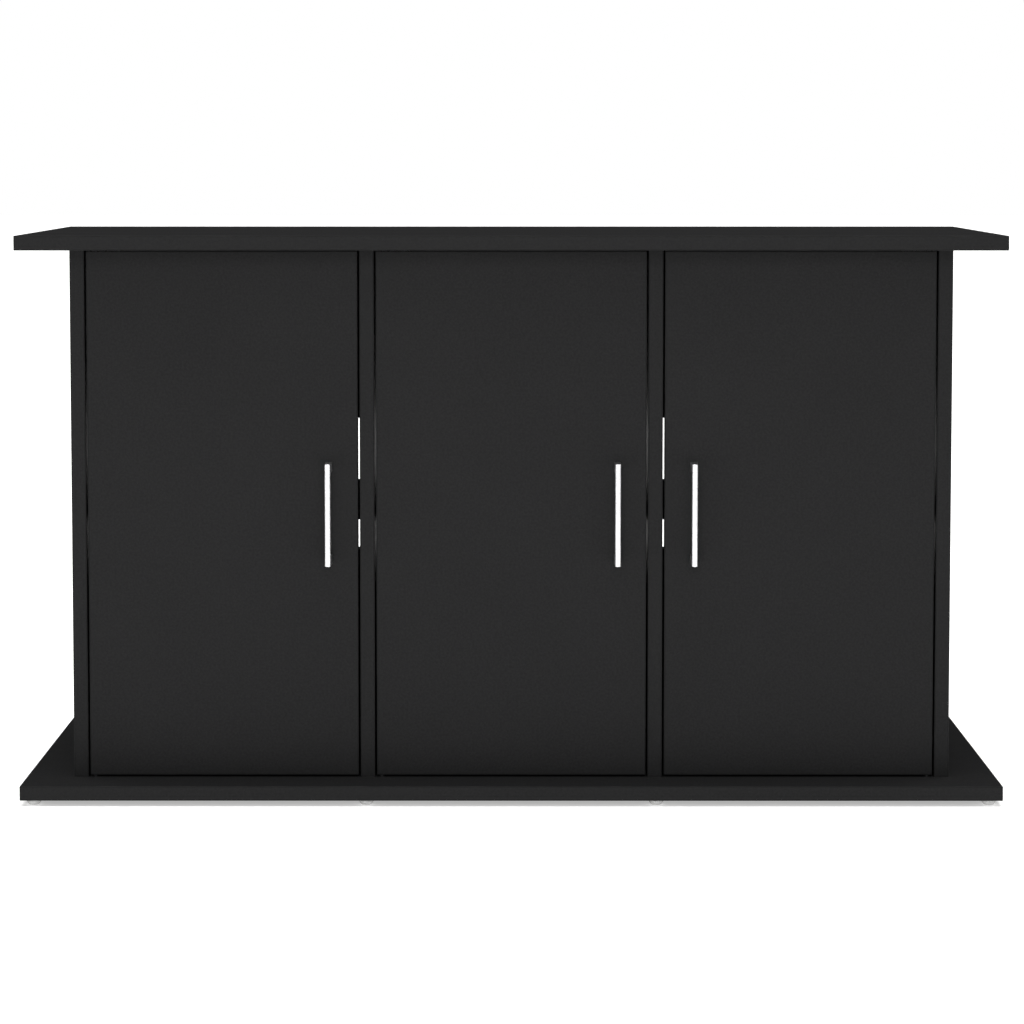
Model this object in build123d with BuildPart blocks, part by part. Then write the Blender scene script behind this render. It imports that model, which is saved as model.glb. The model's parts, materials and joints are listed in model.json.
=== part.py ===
from build123d import *
import os

# Aquarium stand cabinet: a wide low cabinet of melamine-faced board that carries a fish tank.
# A top and a base board reach past a narrower body. Two side panels and two dividers make three
# equal compartments, each with a shelf, a door, and an open slot at the back for hoses and leads.
# Millimetres, +Z up, doors towards -Y. The origin is on the floor, in the middle of the footprint.

# Driving dimensions
width = 1010.0
depth = 410.0
height = 580.0  # from the base board's underside to the tank deck, without the feet
board = 15.0  # thickness of every board
foot_height = 6.0
side_overhang = 49.5  # top and base board past the side panels
front_overhang = 50.0  # top and base board past the doors
door_gap = 2.0
slot_bottom = 211.5  # lower edge of the rear hose slot, above the base board's underside
slot_height = 150.0
shelf_top = 291.5  # above the base board's underside
shelf_depth = 273.0
shelf_side_gap = 1.0
edge_radius = 0.8  # of the glued edge bands

# Cam lock joints between the uprights and the top board
cam_diameter = 15.0
cam_depth = 12.5
cam_distance = 34.0  # from the upright's top end to the middle of the cam
cam_mouth_diameter = 7.4
bolt_thread_diameter = 5.0
bolt_thread_length = 11.0
bolt_bore_diameter = 7.0
bolt_shank_diameter = 6.0
bolt_neck_diameter = 4.0
bolt_head_diameter = 6.6
cap_diameter = 17.0
cap_thickness = 1.6

# Dowels and long assembly screws
joint_inset = 60.0  # of the outer fasteners, from the upright's front and rear edges
dowel_step = 32.0  # from a bolt or a screw to its dowel
dowel_diameter = 8.0
dowel_length = 30.0
dowel_in_board = 10.0
small_dowel_diameter = 6.0
small_dowel_length = 25.0
small_dowel_in_upright = 7.0
small_dowel_inset = 40.0  # from the ends of a back board's height
dowel_chamfer = 0.6
screw_length = 50.0
screw_shank_diameter = 7.0
screw_thread_diameter = 5.0
screw_head_diameter = 10.0
screw_tip = 3.0
screw_socket_width = 4.0
screw_socket_depth = 3.0

# Shelf pins
pin_diameter = 5.0
pin_in_upright = 7.0
pin_tab_width = 8.0
pin_tab_length = 9.0
pin_tab_thickness = 3.0
pin_inset = 40.0  # from the shelf's front and rear edges

# Feet: plastic glides with a nail moulded in
foot_diameter = 15.0
foot_sole_diameter = 10.0
foot_rim = 2.4
foot_inset = 13.0  # of a corner foot's middle, from the base board's edges
nail_diameter = 2.0
nail_length = 14.0
nail_head_diameter = 5.0
nail_head_thickness = 1.0
nail_head_depth = 2.5  # below the top of the foot

# Pivot hinges at the top and bottom edges of each door
pivot_inset = 5.0  # from the door's hinge edge to the axis
pivot_depth = 4.0  # from the door's front face to the axis
pivot_diameter = 3.0
pivot_play = 0.15  # on the diameter
pivot_stem_diameter = 5.0
pivot_stem_length = 10.0
pivot_tip_length = 8.0
pivot_pocket_diameter = 4.2
pivot_pocket_depth = 4.0  # below the plate
plate_length = 34.0
plate_width = 6.0
plate_thickness = 3.0
plate_end = 3.5  # from the axis to the plate's near end
plate_screw_step = 12.0
plate_screw_length = 16.0
small_screw_diameter = 3.0
small_screw_head_diameter = 5.0
washer_diameter = 6.0
washer_thickness = 1.9

# Handles
handle_length = 106.0
handle_spacing = 96.0  # between the two screws
handle_width = 6.5
handle_bar = 8.0  # thickness of the grip, front to back
handle_projection = 28.0
handle_inset = 30.0  # from the door's opening edge
handle_raise = 2.0  # above the door's middle
handle_front_radius = 3.0
handle_inner_radius = 3.0
handle_end_radius = 0.3
handle_screw_diameter = 4.0
handle_screw_bite = 9.0
handle_screw_hole = 4.6
handle_screw_head_diameter = 8.0
handle_screw_head = 2.6

# Magnetic catches
catch_inset = 60.0  # from the door's opening edge
catch_length = 46.0
catch_depth = 16.0
catch_height = 13.0
catch_ear = 8.0
catch_ear_thickness = 2.0
catch_corner = 1.5
catch_air = 0.3  # between the closed strike plate and the magnet
catch_screw_length = 12.0
magnet_length = 38.0
magnet_depth = 12.0
magnet_height = 5.0
strike_length = 40.0
strike_height = 10.0
strike_thickness = 1.5
strike_corner = 2.0
strike_screw_length = 12.0

# Worked-out places
base_top = foot_height + board
deck_top = foot_height + height
deck_bottom = deck_top - board
upright_height = deck_bottom - base_top
carcass_front = front_overhang - depth / 2
carcass_back = depth / 2
carcass_depth = carcass_back - carcass_front
carcass_middle = (carcass_front + carcass_back) / 2
body_width = width - 2 * side_overhang
opening_width = (body_width - 4 * board) / 3
upright_step = opening_width + board
uprights = [(i - 1.5) * upright_step for i in range(4)]
openings = [(i - 1) * upright_step for i in range(3)]
upright_names = ("left_side_panel", "left_divider", "right_divider", "right_side_panel")
sides = ("left", "centre", "right")
hands = (1, 1, -1)  # 1 for a door hinged at its left edge, -1 at its right edge
cam_faces = (1, -1, 1, -1)  # which way each upright's cams face, along X
slot_floor = foot_height + slot_bottom
slot_ceiling = slot_floor + slot_height
shelf_bottom = foot_height + shelf_top - board
shelf_back = carcass_back - board
shelf_front = shelf_back - shelf_depth
bolt_rows = (carcass_front + joint_inset, carcass_back - joint_inset)
dowel_rows = (bolt_rows[0] + dowel_step, bolt_rows[1] - dowel_step)
pin_rows = (shelf_front + pin_inset, shelf_back - pin_inset)
pin_height = shelf_bottom - pin_diameter / 2
back_middle = carcass_back - board / 2
small_dowel_rows = (
    base_top + small_dowel_inset,
    slot_floor - small_dowel_inset,
    slot_ceiling + small_dowel_inset,
    deck_bottom - small_dowel_inset,
)
foot_columns = (foot_inset - width / 2, uprights[1], uprights[2], width / 2 - foot_inset)
door_width = opening_width - 2 * door_gap
door_bottom = base_top + door_gap
door_top = deck_bottom - door_gap
door_height = door_top - door_bottom
door_back = carcass_front + board
pivot_row = carcass_front + pivot_depth
handle_middle = (door_bottom + door_top) / 2 + handle_raise
handle_front = carcass_front - handle_projection
catch_front = door_back + strike_thickness + catch_air
strike_middle = deck_bottom - catch_height + magnet_height

UP = (0, 0, 1)
DOWN = (0, 0, -1)
BACK = (0, 1, 0)

os.makedirs("parts", exist_ok=True)


def hand_over(built, name):
    """Label a finished sub-part and write it to its own file."""
    built.part.label = name
    export_step(built.part, f"parts/{name}.step")


def bore(points, outward, diameter, length):
    """Blind round holes in the part being built, from points on a face whose normal is outward."""
    for point in points:
        with Locations(Plane(origin=point, z_dir=outward)):
            Hole(diameter / 2, length)


def grid(columns, rows, level):
    """Every point of a grid of X and Y values at one height."""
    return [(x, y, level) for x in columns for y in rows]


def copies(fastener, planes, name):
    """Write the same fastener at every plane, as separate solids in one node."""
    with BuildPart() as group:
        with Locations(*planes):
            add(fastener.part)
    hand_over(group, name)


def facing(points, direction):
    """Planes at the points whose Z axis is the direction, with X up where that is possible."""
    if direction in (UP, DOWN):
        return [Plane(origin=point, z_dir=direction) for point in points]
    return [Plane(origin=point, x_dir=UP, z_dir=direction) for point in points]


def hinge_edge(i):
    """X of the door's hinge edge."""
    return openings[i] - hands[i] * door_width / 2


def from_hinge(i, distance):
    """X at a distance from the door's hinge edge, into the door."""
    return hinge_edge(i) + hands[i] * distance


def pivot_x(i):
    return from_hinge(i, pivot_inset)


def handle_x(i):
    return from_hinge(i, door_width - handle_inset)


def catch_x(i):
    return from_hinge(i, door_width - catch_inset)


def plate_screw_xs(i):
    """X of the two screws of a pivot plate."""
    first = pivot_inset + plate_screw_step
    return (from_hinge(i, first), from_hinge(i, first + plate_screw_step))


def catch_screw_xs(i):
    reach = (catch_length + catch_ear) / 2
    return (catch_x(i) - reach, catch_x(i) + reach)


def compartment_faces(i):
    """(x, outward) of the faces of upright i that look into a compartment."""
    faces = []
    if i > 0:
        faces.append((uprights[i] - board / 2, (-1, 0, 0)))
    if i < 3:
        faces.append((uprights[i] + board / 2, (1, 0, 0)))
    return faces


pivot_columns = [pivot_x(i) for i in range(3)]
catch_screw_row = catch_front + catch_depth / 2
catch_screw_points = [(x, catch_screw_row, deck_bottom) for i in range(3) for x in catch_screw_xs(i)]

# Carcass boards

with BuildPart() as top_board:
    with BuildSketch(Plane.XY.offset(deck_bottom)):
        Rectangle(width, depth)
    extrude(amount=board)
    fillet(top_board.edges(), edge_radius)
    bore(grid(uprights, bolt_rows, deck_bottom), DOWN, bolt_thread_diameter, bolt_thread_length)
    bore(grid(uprights, dowel_rows, deck_bottom), DOWN, dowel_diameter, dowel_in_board)
    bore(grid(pivot_columns, (pivot_row,), deck_bottom), DOWN, pivot_stem_diameter, pivot_stem_length)
    bore(catch_screw_points, DOWN, small_screw_diameter, catch_screw_length - catch_ear_thickness)
hand_over(top_board, "top_board")

with BuildPart() as base_board:
    with BuildSketch(Plane.XY.offset(foot_height)):
        Rectangle(width, depth)
    extrude(amount=board)
    fillet(base_board.edges(), edge_radius)
    bore(grid(uprights, dowel_rows, base_top), UP, dowel_diameter, dowel_in_board)
    bore(grid(pivot_columns, (pivot_row,), base_top), UP, pivot_stem_diameter, pivot_stem_length)
    foot_rows = (foot_inset - depth / 2, depth / 2 - foot_inset)
    nail_bite = nail_length - nail_head_depth
    bore(grid(foot_columns, foot_rows, foot_height), DOWN, nail_diameter, nail_bite)
    with Locations(*facing(grid(uprights, bolt_rows, foot_height), DOWN)):
        CounterSinkHole(screw_shank_diameter / 2, screw_head_diameter / 2, counter_sink_angle=90)
hand_over(base_board, "base_board")

for i in range(4):
    with BuildPart() as upright:
        with BuildSketch(Plane((uprights[i], carcass_middle, base_top))):
            Rectangle(board, carcass_depth)
        extrude(amount=upright_height)
        fillet(upright.edges().filter_by(Axis.Z), edge_radius)
        bolt_points = grid((uprights[i],), bolt_rows, deck_bottom)
        bore(bolt_points, UP, bolt_bore_diameter, cam_distance)
        bore(grid((uprights[i],), dowel_rows, deck_bottom), UP, dowel_diameter, dowel_length - dowel_in_board)
        bore(grid((uprights[i],), dowel_rows, base_top), DOWN, dowel_diameter, dowel_length - dowel_in_board)
        bore(grid((uprights[i],), bolt_rows, base_top), DOWN, screw_thread_diameter, screw_length - board)
        cam_x = uprights[i] + cam_faces[i] * board / 2
        cam_points = [(cam_x, y, deck_bottom - cam_distance) for y in bolt_rows]
        bore(cam_points, (cam_faces[i], 0, 0), cam_diameter, cam_depth)
        for x, outward in compartment_faces(i):
            bore([(x, y, pin_height) for y in pin_rows], outward, pin_diameter, pin_in_upright)
            dowel_points = [(x, back_middle, z) for z in small_dowel_rows]
            bore(dowel_points, outward, small_dowel_diameter, small_dowel_in_upright)
    hand_over(upright, upright_names[i])

# Shelves and back boards


def make_back_board(name, middle, bottom, top, dowel_levels):
    """A board across the back of one compartment, dowelled into the uprights at both ends."""
    with BuildPart() as back_board:
        with BuildSketch(Plane((middle, back_middle, bottom))):
            Rectangle(opening_width, board)
        extrude(amount=top - bottom)
        fillet(back_board.edges().filter_by(Axis.X), edge_radius)
        for side in (-1, 1):
            ends = [(middle + side * opening_width / 2, back_middle, z) for z in dowel_levels]
            bore(ends, (side, 0, 0), small_dowel_diameter, small_dowel_length - small_dowel_in_upright)
    hand_over(back_board, name)


for i in range(3):
    with BuildPart() as shelf:
        with BuildSketch(Plane((openings[i], shelf_back - shelf_depth / 2, shelf_bottom))):
            Rectangle(opening_width - 2 * shelf_side_gap, shelf_depth)
        extrude(amount=board)
        fillet(shelf.edges().filter_by(Axis.X), edge_radius)
    hand_over(shelf, f"{sides[i]}_shelf")
    lower_name = f"{sides[i]}_lower_back_board"
    upper_name = f"{sides[i]}_upper_back_board"
    make_back_board(lower_name, openings[i], base_top, slot_floor, small_dowel_rows[:2])
    make_back_board(upper_name, openings[i], slot_ceiling, deck_bottom, small_dowel_rows[2:])

# Cam locks: a bolt in the top board, a turning cam in the upright, and a cover cap

with BuildPart() as cam_bolt:
    cam_edge = cam_distance - cam_diameter / 2
    with BuildSketch(Plane.XZ):
        with BuildLine():
            Polyline(
                (0, bolt_thread_length),
                (bolt_thread_diameter / 2, bolt_thread_length),
                (bolt_thread_diameter / 2, 0),
                (bolt_shank_diameter / 2, 0),
                (bolt_shank_diameter / 2, -cam_edge),
                (bolt_neck_diameter / 2, -cam_edge),
                (bolt_neck_diameter / 2, -cam_distance + 1),
                (bolt_head_diameter / 2, -cam_distance),
                (bolt_head_diameter / 2, -cam_distance - 2),
                (0, -cam_distance - 2),
                close=True,
            )
        make_face()
    revolve(axis=Axis.Z)
copies(cam_bolt, facing(grid(uprights, bolt_rows, deck_bottom), UP), "cam_bolts")

with BuildPart() as cam:
    with BuildSketch(Plane.XY):
        Circle(cam_diameter / 2)
    extrude(amount=-cam_depth)
    with Locations(Plane((cam_diameter / 2, 0, -board / 2), z_dir=(1, 0, 0))):
        Hole(cam_mouth_diameter / 2, (cam_diameter + cam_mouth_diameter) / 2)
    with BuildSketch(Plane.XY):
        Rectangle(cam_diameter / 2, cam_diameter / 10)
        Rectangle(cam_diameter / 10, cam_diameter / 2)
    extrude(amount=-cam_depth / 6, mode=Mode.SUBTRACT)

with BuildPart() as cap:
    with BuildSketch(Plane.XY):
        Circle(cap_diameter / 2)
    extrude(amount=cap_thickness)
    fillet(cap.faces().sort_by(Axis.Z)[-1].edges(), cap_thickness / 2)

cam_planes = []
for i in range(4):
    cam_x = uprights[i] + cam_faces[i] * board / 2
    cam_points = [(cam_x, y, deck_bottom - cam_distance) for y in bolt_rows]
    cam_planes += facing(cam_points, (cam_faces[i], 0, 0))
copies(cam, cam_planes, "cams")
copies(cap, cam_planes, "cam_cover_caps")

# Dowels


def make_dowel(diameter, length, sunk):
    """A dowel along Z whose origin is on the joint, with its sunk end below it."""
    with BuildPart() as dowel:
        with BuildSketch(Plane.XY.offset(-sunk)):
            Circle(diameter / 2)
        extrude(amount=length)
        chamfer(dowel.edges().filter_by(GeomType.CIRCLE), dowel_chamfer)
    return dowel


upright_dowel = make_dowel(dowel_diameter, dowel_length, dowel_in_board)
copies(upright_dowel, facing(grid(uprights, dowel_rows, deck_bottom), DOWN), "top_dowels")
copies(upright_dowel, facing(grid(uprights, dowel_rows, base_top), UP), "base_dowels")

back_dowel = make_dowel(small_dowel_diameter, small_dowel_length, small_dowel_in_upright)
back_dowel_planes = []
for i in range(4):
    for x, outward in compartment_faces(i):
        back_dowel_planes += facing([(x, back_middle, z) for z in small_dowel_rows], outward)
copies(back_dowel, back_dowel_planes, "back_board_dowels")

# Long screws from the base board's underside up into the uprights

with BuildPart() as assembly_screw:
    sink = (screw_head_diameter - screw_shank_diameter) / 2
    with BuildSketch(Plane.XZ):
        with BuildLine():
            Polyline(
                (0, 0),
                (screw_head_diameter / 2, 0),
                (screw_shank_diameter / 2, sink),
                (screw_shank_diameter / 2, board),
                (screw_thread_diameter / 2, board),
                (screw_thread_diameter / 2, screw_length - screw_tip),
                (0, screw_length),
                close=True,
            )
        make_face()
    revolve(axis=Axis.Z)
    with BuildSketch(Plane.XY):
        RegularPolygon(screw_socket_width / 2, 6, major_radius=False)
    extrude(amount=screw_socket_depth, mode=Mode.SUBTRACT)
copies(assembly_screw, facing(grid(uprights, bolt_rows, foot_height), UP), "base_screws")

# Shelf pins: a round peg in the upright and a flat tab under the shelf

with BuildPart() as shelf_pin:
    with BuildSketch(Plane.XY):
        Circle(pin_diameter / 2)
    extrude(amount=-pin_in_upright)
    with BuildSketch(Plane.XY):
        with Locations(((pin_diameter - pin_tab_thickness) / 2, 0)):
            Rectangle(pin_tab_thickness, pin_tab_width)
    extrude(amount=pin_tab_length)
    fillet(shelf_pin.edges().filter_by(Axis.X).group_by(Axis.Z)[-1], pin_tab_width / 4)

pin_planes = []
for i in range(4):
    for x, outward in compartment_faces(i):
        pin_planes += facing([(x, y, pin_height) for y in pin_rows], outward)
copies(shelf_pin, pin_planes, "shelf_pins")

# Feet and their nails, with the origin on the base board's underside

with BuildPart() as nail:
    head_top = -nail_head_depth
    with BuildSketch(Plane.XZ):
        with BuildLine():
            Polyline(
                (0, nail_length - nail_head_depth),
                (nail_diameter / 2, nail_length - nail_head_depth - nail_diameter),
                (nail_diameter / 2, head_top),
                (nail_head_diameter / 2, head_top),
                (nail_head_diameter / 2, head_top - nail_head_thickness),
                (0, head_top - nail_head_thickness),
                close=True,
            )
        make_face()
    revolve(axis=Axis.Z)

with BuildPart() as foot:
    with BuildSketch(Plane.XZ):
        with BuildLine():
            Polyline(
                (foot_sole_diameter / 2, -foot_height),
                (0, -foot_height),
                (0, 0),
                (foot_diameter / 2, 0),
                (foot_diameter / 2, -foot_rim),
            )
            RadiusArc(
                (foot_diameter / 2, -foot_rim),
                (foot_sole_diameter / 2, -foot_height),
                foot_height,
            )
        make_face()
    revolve(axis=Axis.Z)
    add(nail.part, mode=Mode.SUBTRACT)

for row, place in zip(foot_rows, ("front", "rear")):
    foot_planes = facing(grid(foot_columns, (row,), foot_height), UP)
    copies(foot, foot_planes, f"{place}_feet")
    copies(nail, foot_planes, f"{place}_foot_nails")

# Pivot hinges: a pin in each board, a washer under the door, and plates let into its edges

with BuildPart() as pivot_pin:
    with BuildSketch(Plane.XY):
        Circle(pivot_stem_diameter / 2)
    extrude(amount=pivot_stem_length)
    with BuildSketch(Plane.XY):
        Circle(pivot_diameter / 2)
    extrude(amount=-pivot_tip_length)
    chamfer(pivot_pin.edges().sort_by(Axis.Z)[0], dowel_chamfer)

with BuildPart() as washer:
    with BuildSketch(Plane.XY):
        Circle(washer_diameter / 2)
        Circle(pivot_diameter / 2, mode=Mode.SUBTRACT)
    extrude(amount=washer_thickness)
copies(washer, facing(grid(pivot_columns, (pivot_row,), base_top), UP), "pivot_washers")


def make_small_screw(length):
    """A countersunk screw along -Z whose flat head is at the origin."""
    head = small_screw_head_diameter / 2
    shank = small_screw_diameter / 2
    with BuildPart() as screw:
        with BuildSketch(Plane.XZ):
            with BuildLine():
                Polyline(
                    (0, 0),
                    (head, 0),
                    (shank, shank - head),
                    (shank, shank - length),
                    (0, -length),
                    close=True,
                )
            make_face()
        revolve(axis=Axis.Z)
        with BuildSketch(Plane.XY):
            Rectangle(head, shank / 3)
            Rectangle(shank / 3, head)
        extrude(amount=-shank / 2, mode=Mode.SUBTRACT)
    return screw


def countersunk(points, outward, length):
    """Countersunk screw holes in the part being built."""
    with Locations(*facing(points, outward)):
        CounterSinkHole(small_screw_diameter / 2, small_screw_head_diameter / 2, length, 90)


plate_screw = make_small_screw(plate_screw_length)
strike_screw = make_small_screw(strike_screw_length)
catch_screw = make_small_screw(catch_screw_length)


def plate_sketch_plane(i, level):
    """The middle of door i's pivot plate at one height."""
    middle = pivot_inset - plate_end + plate_length / 2
    return Plane((from_hinge(i, middle), pivot_row, level))


# Doors and what rides on them

for i in range(3):
    side = sides[i]
    edges = ((door_top, UP), (door_bottom, DOWN))
    handle_levels = (handle_middle - handle_spacing / 2, handle_middle + handle_spacing / 2)
    plate_screw_points = [(x, pivot_row) for x in plate_screw_xs(i)]

    pin_ends = facing([(pivot_x(i), pivot_row, deck_bottom)], UP)
    pin_ends += facing([(pivot_x(i), pivot_row, base_top)], DOWN)
    copies(pivot_pin, pin_ends, f"{side}_pivot_pins")

    with BuildPart() as door:
        with BuildSketch(Plane((openings[i], carcass_front + board / 2, door_bottom))):
            Rectangle(door_width, board)
        extrude(amount=door_height)
        fillet(door.edges(), edge_radius)
        for level, outward in edges:
            with BuildSketch(plate_sketch_plane(i, level)):
                Rectangle(plate_length, plate_width)
            extrude(amount=-plate_thickness * outward[2], mode=Mode.SUBTRACT)
            floor = level - plate_thickness * outward[2]
            bore([(pivot_x(i), pivot_row, floor)], outward, pivot_pocket_diameter, pivot_pocket_depth)
            bite = plate_screw_length - plate_thickness
            bore([(x, y, floor) for x, y in plate_screw_points], outward, small_screw_diameter, bite)
        bore([(handle_x(i), door_back, z) for z in handle_levels], BACK, handle_screw_hole, board)
        strike_bite = strike_screw_length - strike_thickness
        bore([(catch_x(i), door_back, strike_middle)], BACK, small_screw_diameter, strike_bite)
    hand_over(door, f"{side}_door")

    with BuildPart() as pivot_plates:
        for level, outward in edges:
            with BuildSketch(plate_sketch_plane(i, level)):
                Rectangle(plate_length, plate_width)
            extrude(amount=-plate_thickness * outward[2])
        for level, outward in edges:
            hole_diameter = pivot_diameter + pivot_play
            bore([(pivot_x(i), pivot_row, level)], outward, hole_diameter, plate_thickness)
            countersunk([(x, y, level) for x, y in plate_screw_points], outward, plate_thickness)
    hand_over(pivot_plates, f"{side}_pivot_plates")

    screw_planes = []
    for level, outward in edges:
        screw_planes += facing([(x, y, level) for x, y in plate_screw_points], outward)
    copies(plate_screw, screw_planes, f"{side}_pivot_plate_screws")

    with BuildPart() as handle:
        grip_middle = handle_front + handle_bar / 2
        with BuildSketch(Plane((handle_x(i), grip_middle, handle_middle - handle_length / 2))) as section:
            Rectangle(handle_width, handle_bar)
            fillet(section.vertices().group_by(Axis.Y)[0], handle_front_radius)
        extrude(amount=handle_length)
        for level in handle_levels:
            leg_root = (handle_x(i), carcass_front, level)
            with BuildSketch(Plane(origin=leg_root, x_dir=(1, 0, 0), z_dir=BACK)):
                Rectangle(handle_width, handle_length - handle_spacing)
            extrude(amount=grip_middle - carcass_front)
        grip_back = handle_front + handle_bar
        inner_corners = handle.edges().filter_by(Axis.X).filter_by_position(Axis.Y, grip_back, grip_back)
        fillet(inner_corners, handle_inner_radius)
        for end in (handle.faces().sort_by(Axis.Z)[-1], handle.faces().sort_by(Axis.Z)[0]):
            fillet(end.edges(), handle_end_radius)
        screw_points = [(handle_x(i), carcass_front, z) for z in handle_levels]
        bore(screw_points, BACK, handle_screw_diameter, handle_screw_bite)
    hand_over(handle, f"{side}_door_handle")

    with BuildPart() as handle_screws:
        for level in handle_levels:
            with BuildSketch(Plane(origin=(handle_x(i), door_back, level), z_dir=BACK)):
                Circle(handle_screw_head_diameter / 2)
            extrude(amount=handle_screw_head)
        fillet(handle_screws.edges().group_by(Axis.Y)[-1], handle_screw_head / 3)
        for level in handle_levels:
            with BuildSketch(Plane(origin=(handle_x(i), door_back, level), z_dir=BACK)):
                Circle(handle_screw_diameter / 2)
            extrude(amount=-board - handle_screw_bite)
    hand_over(handle_screws, f"{side}_handle_screws")

    with BuildPart() as strike_plate:
        with BuildSketch(Plane(origin=(catch_x(i), door_back, strike_middle), x_dir=(1, 0, 0), z_dir=BACK)):
            RectangleRounded(strike_length, strike_height, strike_corner)
        extrude(amount=strike_thickness)
        strike_face = door_back + strike_thickness
        countersunk([(catch_x(i), strike_face, strike_middle)], BACK, strike_thickness)
    hand_over(strike_plate, f"{side}_strike_plate")
    copies(strike_screw, facing([(catch_x(i), strike_face, strike_middle)], BACK), f"{side}_strike_screw")

    catch_middle = catch_front + catch_depth / 2
    with BuildPart() as catch:
        with BuildSketch(Plane((catch_x(i), catch_middle, deck_bottom))):
            RectangleRounded(catch_length, catch_depth, catch_corner)
        extrude(amount=-catch_height)
        with BuildSketch(Plane((catch_x(i), catch_middle, deck_bottom))):
            RectangleRounded(catch_length + 2 * catch_ear, catch_depth, catch_corner)
        extrude(amount=-catch_ear_thickness)
        ear_points = [(x, catch_middle, deck_bottom - catch_ear_thickness) for x in catch_screw_xs(i)]
        countersunk(ear_points, DOWN, catch_ear_thickness)
        with BuildSketch(Plane(origin=(catch_x(i), catch_front, strike_middle), x_dir=(1, 0, 0), z_dir=BACK)):
            Rectangle(magnet_length, magnet_height)
        extrude(amount=magnet_depth, mode=Mode.SUBTRACT)
    hand_over(catch, f"{side}_catch_housing")

# Magnets and screws of the catches

with BuildPart() as magnets:
    for i in range(3):
        with BuildSketch(Plane(origin=(catch_x(i), catch_front, strike_middle), x_dir=(1, 0, 0), z_dir=BACK)):
            Rectangle(magnet_length, magnet_height)
        extrude(amount=magnet_depth)
hand_over(magnets, "catch_magnets")

screw_heads = [(x, y, z - catch_ear_thickness) for x, y, z in catch_screw_points]
copies(catch_screw, facing(screw_heads, DOWN), "catch_screws")
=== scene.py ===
import json
import math

import bpy
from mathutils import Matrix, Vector


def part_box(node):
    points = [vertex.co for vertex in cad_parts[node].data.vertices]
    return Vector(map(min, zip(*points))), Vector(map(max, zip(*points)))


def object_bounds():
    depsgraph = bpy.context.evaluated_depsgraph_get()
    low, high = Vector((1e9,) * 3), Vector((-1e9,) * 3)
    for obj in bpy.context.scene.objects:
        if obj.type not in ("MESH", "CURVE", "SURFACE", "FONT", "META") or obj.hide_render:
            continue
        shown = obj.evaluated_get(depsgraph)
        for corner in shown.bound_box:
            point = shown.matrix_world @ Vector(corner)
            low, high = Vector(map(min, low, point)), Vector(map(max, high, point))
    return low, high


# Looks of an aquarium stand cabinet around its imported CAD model. Metres, doors towards -Y, +Z up.
# The CAD nodes stay as they are and get procedural materials. A pale floor, soft light and the
# camera complete the scene. A noise pattern is given as its cells to the metre, its detail and its
# roughness.

MM = 0.001

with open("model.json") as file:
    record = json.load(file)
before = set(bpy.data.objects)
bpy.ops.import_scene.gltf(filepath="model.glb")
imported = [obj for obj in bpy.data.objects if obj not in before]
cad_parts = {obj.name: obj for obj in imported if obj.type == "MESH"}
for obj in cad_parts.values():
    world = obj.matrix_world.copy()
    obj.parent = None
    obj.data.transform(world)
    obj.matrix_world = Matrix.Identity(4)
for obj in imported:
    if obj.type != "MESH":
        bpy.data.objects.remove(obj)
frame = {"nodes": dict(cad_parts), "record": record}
nodes = frame["nodes"]
cad_low, cad_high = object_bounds()
cad_middle = Vector((cad_low + cad_high) / 2)

# Camera
CAMERA_LENS = 110.48
CAMERA_SENSOR = 36.0
CAMERA_SHIFT = -0.13
CAMERA_PLACE = (0.0045, -3.393, 0.6696)
CAMERA_TILT = math.radians(4.109)
CAMERA_PAN = math.radians(0.066)
CAMERA_REACH = 200.0

# Studio
FLOOR_SIZE = 60.0
FLOOR_COLOUR = (0.90, 0.90, 0.895, 1)
FLOOR_GLOW = 0.45  # the floor is lit from below as well, like a photographer's light table
FLOOR_ROUGHNESS = (0.85, 0.95)
FLOOR_SPECKLE = (40.0, 3.0)
FLOOR_SHINE = 0.1
WHITE = (1, 1, 1, 1)
BACKGROUND_STRENGTH = 1.0
DOME_STRENGTH = 1.0
DOME_FOOT = 0.35  # sine of the height above the horizon where the dome's light begins
DOME_CROWN = 0.9  # and where it is full
DOME_FRONT = -0.2  # the dome fades from front to rear between these two directions along Y
DOME_REAR = 0.4
DOME_REAR_SHARE = 0.0
SUN_STRENGTH = 2.6
SUN_SPREAD = math.radians(50)
SOFTBOXES = (  # name, place, size, power
    ("front", (-0.1, -4.6, 1.5), (2.4, 1.8), 80),
    ("rear_left", (-4.2, 2.6, 1.3), (2.0, 2.0), 40),
    ("rear_right", (4.2, 2.6, 1.3), (2.0, 2.0), 40),
    ("left_fill", (-4.0, -1.5, 1.8), (2.0, 2.0), 12),
    ("right_fill", (4.0, -1.5, 1.8), (2.0, 2.0), 7),
)


# Shader tools

NOISE_MIDDLE = (0.3, 0.7)  # most of a noise pattern's values lie between these
MIX_FIRST = 6  # a mix node's colour inputs and result go by place, because its sockets share names
MIX_SECOND = 7
MIX_RESULT = 2


def link(tree, source, target):
    tree.links.new(source, target)


def add_node(tree, kind, **settings):
    """A new shader node with its attributes set."""
    node = tree.nodes.new(kind)
    for name, value in settings.items():
        setattr(node, name, value)
    return node


def math_node(tree, operation, first, second=None):
    """The result socket of a maths node whose inputs are sockets or numbers."""
    node = add_node(tree, "ShaderNodeMath", operation=operation)
    for socket, value in zip(node.inputs, (first, second)):
        if value is None:
            continue
        if isinstance(value, (int, float)):
            socket.default_value = value
        else:
            link(tree, value, socket)
    return node.outputs[0]


def position(tree):
    """The point in the model's own frame, in metres."""
    return add_node(tree, "ShaderNodeTexCoord").outputs["Object"]


def stretched(tree, vector, scale):
    """The point with each axis scaled on its own, which stretches a pattern."""
    node = add_node(tree, "ShaderNodeMapping")
    node.inputs["Scale"].default_value = scale
    link(tree, vector, node.inputs["Vector"])
    return node.outputs[0]


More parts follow.
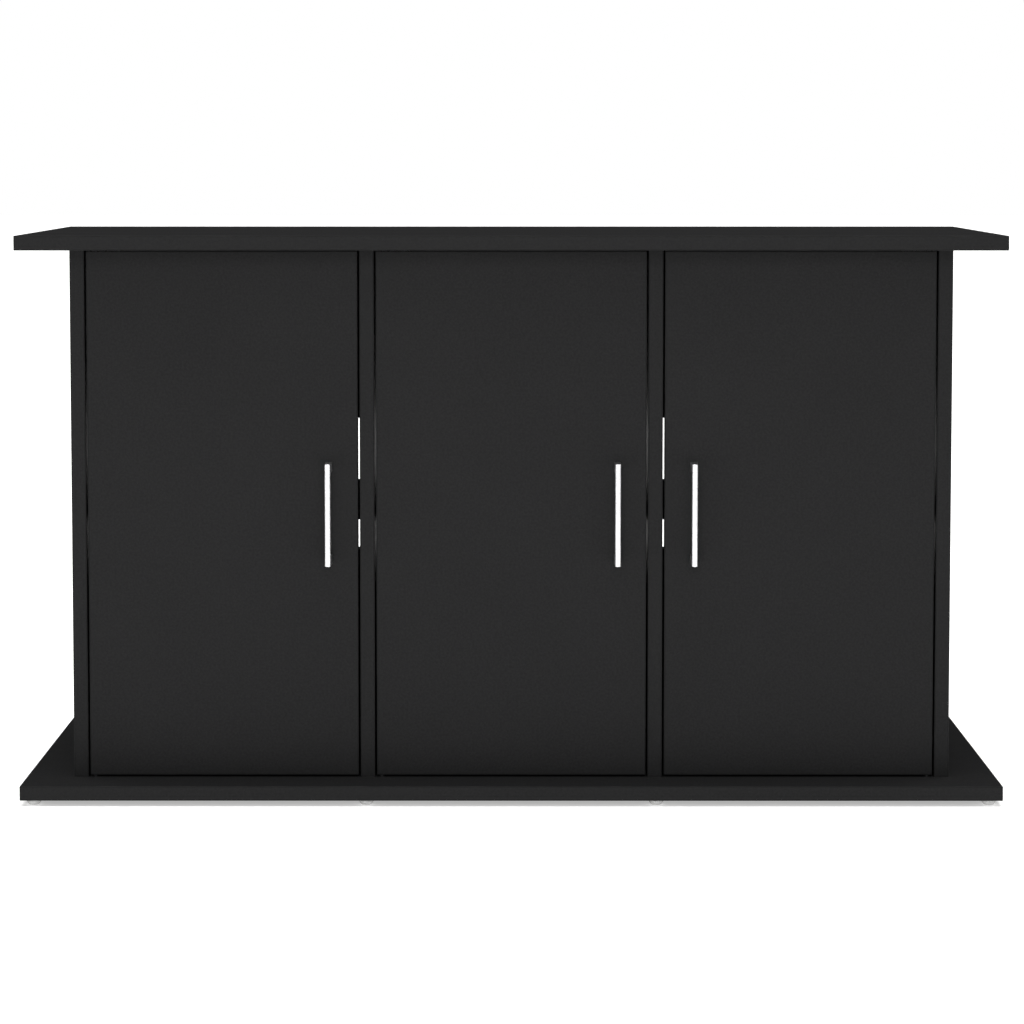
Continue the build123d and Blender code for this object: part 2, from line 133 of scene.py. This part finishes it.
def noise(tree, vector, scale, detail=2.0, roughness=0.5):
    """A noise pattern from 0 to 1."""
    node = add_node(tree, "ShaderNodeTexNoise")
    node.inputs["Scale"].default_value = scale
    node.inputs["Detail"].default_value = detail
    node.inputs["Roughness"].default_value = roughness
    link(tree, vector, node.inputs["Vector"])
    return node.outputs["Fac"]


def span(tree, value, low, high, new_low, new_high):
    """A value mapped from one range to another and held inside it."""
    node = add_node(tree, "ShaderNodeMapRange")
    link(tree, value, node.inputs["Value"])
    limits = {"From Min": low, "From Max": high, "To Min": new_low, "To Max": new_high}
    for name, number in limits.items():
        node.inputs[name].default_value = number
    return node.outputs["Result"]


def spread(tree, pattern, low, high):
    """A noise pattern spread from low to high."""
    return span(tree, pattern, *NOISE_MIDDLE, low, high)


def uneven(tree, pattern, roughness, share):
    """A roughness that a noise pattern moves up and down by a share of itself."""
    return spread(tree, pattern, roughness * (1 - share), roughness * (1 + share))


def mix_colour(tree, factor, first, second):
    """A colour between two colours, each a socket or a tuple."""
    node = add_node(tree, "ShaderNodeMix", data_type="RGBA")
    link(tree, factor, node.inputs["Factor"])
    for socket, value in ((node.inputs[MIX_FIRST], first), (node.inputs[MIX_SECOND], second)):
        if isinstance(value, tuple):
            socket.default_value = (*value, 1)
        else:
            link(tree, value, socket)
    return node.outputs[MIX_RESULT]


def bump(tree, height, distance, strength, below=None):
    """A normal from a height pattern, on top of another normal if one is given."""
    node = add_node(tree, "ShaderNodeBump")
    node.inputs["Distance"].default_value = distance
    node.inputs["Strength"].default_value = strength
    link(tree, height, node.inputs["Height"])
    if below is not None:
        link(tree, below, node.inputs["Normal"])
    return node.outputs["Normal"]


def new_material(name, **constants):
    """A material with one principled shader; constants are set on the shader's own sockets."""
    material = bpy.data.materials.new(name)
    material.use_nodes = True
    tree = material.node_tree
    shader = tree.nodes["Principled BSDF"]
    for socket, value in constants.items():
        shader.inputs[socket.replace("_", " ")].default_value = value
    return material, tree, shader


def assign(node_name, material):
    """Give a CAD node its material in every slot."""
    mesh = nodes[node_name].data
    if not mesh.materials:
        mesh.materials.append(material)
    for index in range(len(mesh.materials)):
        mesh.materials[index] = material


# Boards

BOARD_DARK = (0.0105, 0.0105, 0.0108)
BOARD_LIGHT = (0.0150, 0.0150, 0.0153)
BOARD_SHINE = 0.09
BOARD_ROUGHNESS = (0.56, 0.66)
BAND_COLOUR = (0.0120, 0.0120, 0.0122)
GLUE_COLOUR = (0.0035, 0.0035, 0.0036)
GLUE_DEPTH = 0.1 * MM
WEAR_COLOUR = (0.0400, 0.0395, 0.0385)
WEAR_WIDTH = 0.7 * MM
BAND_LINE = 1.0 * MM
BAND_LINE_WIDTH = 0.18 * MM
GLUE_SHARE = 0.8
GLUE_RELIEF = 0.6
WEAR_SHARE = 0.7
RUB = (35.0, 5.0, 0.7)
RUB_PATCHES = (0.52, 0.68)  # an edge is worn where the rub pattern is above these
PEARL = (1500.0, 1.0)
PEARL_HEIGHT = 0.03 * MM
PEARL_RELIEF = 0.35
FLECK = (420.0, 2.0, 0.7)
FLECK_PATCHES = (0.35, 0.65)
CLOUD = (9.0, 4.0, 0.6)
CLOUD_ROUGHNESS = (-0.03, 0.03)  # handling marks, added to the board's own roughness


def edge_distance(tree, point, low, high):
    """Distance from a point on a board's surface to the board's nearest edge.

    It is the middle one of the point's distances to the nearest faces along X, Y and Z.
    """
    from_low = add_node(tree, "ShaderNodeVectorMath", operation="SUBTRACT")
    from_high = add_node(tree, "ShaderNodeVectorMath", operation="SUBTRACT")
    nearest = add_node(tree, "ShaderNodeVectorMath", operation="MINIMUM")
    link(tree, point, from_low.inputs[0])
    from_low.inputs[1].default_value = low
    from_high.inputs[0].default_value = high
    link(tree, point, from_high.inputs[1])
    link(tree, from_low.outputs[0], nearest.inputs[0])
    link(tree, from_high.outputs[0], nearest.inputs[1])
    split = add_node(tree, "ShaderNodeSeparateXYZ")
    link(tree, nearest.outputs[0], split.inputs[0])
    x, y, z = split.outputs
    smallest = math_node(tree, "MINIMUM", math_node(tree, "MINIMUM", x, y), z)
    largest = math_node(tree, "MAXIMUM", math_node(tree, "MAXIMUM", x, y), z)
    total = math_node(tree, "ADD", math_node(tree, "ADD", x, y), z)
    return math_node(tree, "SUBTRACT", math_node(tree, "SUBTRACT", total, smallest), largest)


def melamine(name, low, high):
    """Satin black melamine: fine pearl texture, faint handling marks, edge bands and worn edges."""
    material, tree, shader = new_material(name, Specular_IOR_Level=BOARD_SHINE)
    point = position(tree)
    pearl = noise(tree, point, *PEARL)
    cloud = noise(tree, point, *CLOUD)
    fleck = noise(tree, point, *FLECK)
    colour = mix_colour(tree, span(tree, fleck, *FLECK_PATCHES, 0, 1), BOARD_DARK, BOARD_LIGHT)

    distance = edge_distance(tree, point, low, high)
    from_line = math_node(tree, "ABSOLUTE", math_node(tree, "SUBTRACT", distance, BAND_LINE))
    glue = span(tree, from_line, BAND_LINE_WIDTH / 2, BAND_LINE_WIDTH, GLUE_SHARE, 0)
    band = math_node(tree, "LESS_THAN", distance, BAND_LINE)
    colour = mix_colour(tree, band, colour, BAND_COLOUR)
    colour = mix_colour(tree, glue, colour, GLUE_COLOUR)
    rubbed = span(tree, noise(tree, point, *RUB), *RUB_PATCHES, 0, 1)
    wear = math_node(tree, "MULTIPLY", span(tree, distance, 0, WEAR_WIDTH, WEAR_SHARE, 0), rubbed)
    colour = mix_colour(tree, wear, colour, WEAR_COLOUR)
    link(tree, colour, shader.inputs["Base Color"])

    marks = spread(tree, cloud, *CLOUD_ROUGHNESS)
    grain = spread(tree, pearl, *BOARD_ROUGHNESS)
    link(tree, math_node(tree, "ADD", marks, grain), shader.inputs["Roughness"])
    relief = bump(tree, glue, -GLUE_DEPTH, GLUE_RELIEF)
    relief = bump(tree, pearl, PEARL_HEIGHT, PEARL_RELIEF, relief)
    link(tree, relief, shader.inputs["Normal"])
    return material


# Metals, plastics and dowels

DRAWN_LINES = (900.0, 3.0, 0.6)
DRAWN_HEIGHT = 0.02 * MM
PLATE_CLOUDS = (60.0, 4.0, 0.6)
PLATE_UNEVEN = 0.12
MOULD_GRAIN = (2500.0, 2.0, 0.6)
MOULD_HEIGHT = 0.03 * MM
MOULD_RELIEF = 0.3
MOULD_DRIFT = (120.0, 3.0, 0.6)
MOULD_UNEVEN = 0.15
BEECH_DARK = (0.42, 0.27, 0.15)
BEECH_LIGHT = (0.66, 0.47, 0.29)
BEECH_FLECK = (0.22, 0.12, 0.06)
BEECH_ROUGHNESS = (0.55, 0.75)
BEECH_SHINE = 0.3
BEECH_GRAIN = (700.0, 4.0, 0.6)
BEECH_GRAIN_STRETCH = (1, 1, 0.08)
BEECH_RAYS = (1500.0, 1.0)
BEECH_RAY_STRETCH = (1, 1, 0.2)
BEECH_RAY_PATCHES = (0.62, 0.72)
BEECH_RAY_SHARE = 0.5
BEECH_HEIGHT = 0.05 * MM
BEECH_RELIEF = 0.4


def plated(name, dark, light, roughness, brush=(1, 1, 1), relief=0.08):
    """Plated metal: fine drawn lines, clouding, and a little uneven shine."""
    material, tree, shader = new_material(name, Metallic=1.0)
    point = position(tree)
    lines = noise(tree, stretched(tree, point, brush), *DRAWN_LINES)
    cloud = noise(tree, point, *PLATE_CLOUDS)
    link(tree, mix_colour(tree, spread(tree, cloud, 0, 1), dark, light), shader.inputs["Base Color"])
    link(tree, uneven(tree, lines, roughness, PLATE_UNEVEN), shader.inputs["Roughness"])
    link(tree, bump(tree, lines, DRAWN_HEIGHT, relief), shader.inputs["Normal"])
    return material


def moulded(name, dark, light, roughness, specular=0.4):
    """Moulded plastic: a fine spark-eroded texture and slight colour drift."""
    material, tree, shader = new_material(name, Specular_IOR_Level=specular)
    point = position(tree)
    grain = noise(tree, point, *MOULD_GRAIN)
    drift = noise(tree, point, *MOULD_DRIFT)
    link(tree, mix_colour(tree, spread(tree, drift, 0, 1), dark, light), shader.inputs["Base Color"])
    link(tree, uneven(tree, grain, roughness, MOULD_UNEVEN), shader.inputs["Roughness"])
    link(tree, bump(tree, grain, MOULD_HEIGHT, MOULD_RELIEF), shader.inputs["Normal"])
    return material


def beech(name):
    """Bare beech dowel: long fine grain with short dark flecks."""
    material, tree, shader = new_material(name, Specular_IOR_Level=BEECH_SHINE)
    point = position(tree)
    grain = noise(tree, stretched(tree, point, BEECH_GRAIN_STRETCH), *BEECH_GRAIN)
    fleck = noise(tree, stretched(tree, point, BEECH_RAY_STRETCH), *BEECH_RAYS)
    colour = mix_colour(tree, grain, BEECH_DARK, BEECH_LIGHT)
    rays = span(tree, fleck, *BEECH_RAY_PATCHES, 0, BEECH_RAY_SHARE)
    colour = mix_colour(tree, rays, colour, BEECH_FLECK)
    link(tree, colour, shader.inputs["Base Color"])
    link(tree, spread(tree, grain, *BEECH_ROUGHNESS), shader.inputs["Roughness"])
    link(tree, bump(tree, grain, BEECH_HEIGHT, BEECH_RELIEF), shader.inputs["Normal"])
    return material


SLOT_MATERIALS = {
    "chrome": plated("polished_handle", (0.74, 0.74, 0.75), (0.78, 0.78, 0.79), 0.28, (1, 1, 0.05), 0.05),
    "nickel": plated("nickel_plate", (0.48, 0.47, 0.45), (0.62, 0.61, 0.59), 0.28),
    "dark_steel": plated("blackened_steel", (0.030, 0.030, 0.032), (0.060, 0.060, 0.062), 0.42),
    "zinc": plated("zinc_plate", (0.50, 0.52, 0.55), (0.68, 0.69, 0.72), 0.34),
    "black_plastic": moulded("black_moulding", (0.005, 0.005, 0.0054), (0.009, 0.009, 0.0094), 0.5, 0.25),
    "foot_plastic": moulded("pale_glide", (0.52, 0.52, 0.515), (0.60, 0.60, 0.595), 0.38),
    "magnet": moulded("ferrite", (0.030, 0.030, 0.032), (0.060, 0.060, 0.062), 0.45, 0.5),
    "beech": beech("beech"),
}

for entry in frame["record"]["subparts"]:
    name = entry["node"]
    slot = entry["material_slot"]
    if slot == "board":
        assign(name, melamine(f"{name}_melamine", *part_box(name)))
    else:
        assign(name, SLOT_MATERIALS[slot])

# Floor


def make_floor():
    """A wide plain pale floor under the feet."""
    half = FLOOR_SIZE / 2
    mesh = bpy.data.meshes.new("floor")
    corners = [(-half, -half, 0), (half, -half, 0), (half, half, 0), (-half, half, 0)]
    mesh.from_pydata(corners, [], [(0, 1, 2, 3)])
    floor = bpy.data.objects.new("floor", mesh)
    bpy.context.scene.collection.objects.link(floor)
    material, tree, shader = new_material(
        "floor_paint",
        Base_Color=FLOOR_COLOUR,
        Specular_IOR_Level=FLOOR_SHINE,
        Emission_Color=FLOOR_COLOUR,
        Emission_Strength=FLOOR_GLOW,
    )
    speckle = noise(tree, position(tree), *FLOOR_SPECKLE)
    link(tree, spread(tree, speckle, *FLOOR_ROUGHNESS), shader.inputs["Roughness"])
    mesh.materials.append(material)


# Light


def add_softbox(name, place, size, power):
    """A rectangular soft light that faces the middle of the cabinet."""
    light = bpy.data.lights.new(name, "AREA")
    light.shape = "RECTANGLE"
    light.size, light.size_y = size
    light.energy = power
    lamp = bpy.data.objects.new(name, light)
    lamp.location = place
    lamp.rotation_euler = (cad_middle - Vector(place)).to_track_quat("-Z", "Y").to_euler()
    bpy.context.scene.collection.objects.link(lamp)


def add_sun():
    """A very soft light from straight above, which keeps the whole floor equally pale."""
    light = bpy.data.lights.new("overhead", "SUN")
    light.energy = SUN_STRENGTH
    light.angle = SUN_SPREAD
    lamp = bpy.data.objects.new("overhead", light)
    bpy.context.scene.collection.objects.link(lamp)


def make_world():
    """White where the camera sees it; as a light, a dome that is dark low down and to the rear."""
    world = bpy.data.worlds.new("studio")
    bpy.context.scene.world = world
    world.use_nodes = True
    tree = world.node_tree
    tree.nodes.clear()
    seen = add_node(tree, "ShaderNodeBackground")
    seen.inputs["Strength"].default_value = BACKGROUND_STRENGTH
    seen.inputs["Color"].default_value = WHITE
    ambient = add_node(tree, "ShaderNodeBackground")
    ambient.inputs["Color"].default_value = WHITE
    direction = add_node(tree, "ShaderNodeSeparateXYZ")
    link(tree, add_node(tree, "ShaderNodeTexCoord").outputs["Generated"], direction.inputs[0])
    glow = span(tree, direction.outputs[2], DOME_FOOT, DOME_CROWN, 0, DOME_STRENGTH)
    share = span(tree, direction.outputs[1], DOME_FRONT, DOME_REAR, 1, DOME_REAR_SHARE)
    link(tree, math_node(tree, "MULTIPLY", glow, share), ambient.inputs["Strength"])
    choice = add_node(tree, "ShaderNodeMixShader")
    link(tree, add_node(tree, "ShaderNodeLightPath").outputs["Is Camera Ray"], choice.inputs["Fac"])
    link(tree, ambient.outputs[0], choice.inputs[1])
    link(tree, seen.outputs[0], choice.inputs[2])
    output = add_node(tree, "ShaderNodeOutputWorld")
    link(tree, choice.outputs[0], output.inputs["Surface"])


def make_camera():
    """The viewpoint: far back, in the middle and a little above the deck, looking slightly down."""
    data = bpy.data.cameras.new("camera")
    data.sensor_width = CAMERA_SENSOR
    data.lens = CAMERA_LENS
    data.shift_y = CAMERA_SHIFT
    data.clip_end = CAMERA_REACH
    camera = bpy.data.objects.new("camera", data)
    camera.location = CAMERA_PLACE
    camera.rotation_euler = (math.pi / 2 - CAMERA_TILT, 0, CAMERA_PAN)
    bpy.context.scene.collection.objects.link(camera)
    bpy.context.scene.camera = camera


make_camera()
make_floor()
make_world()
add_sun()
for softbox in SOFTBOXES:
    add_softbox(*softbox)
bpy.context.scene.view_settings.view_transform = "Standard"
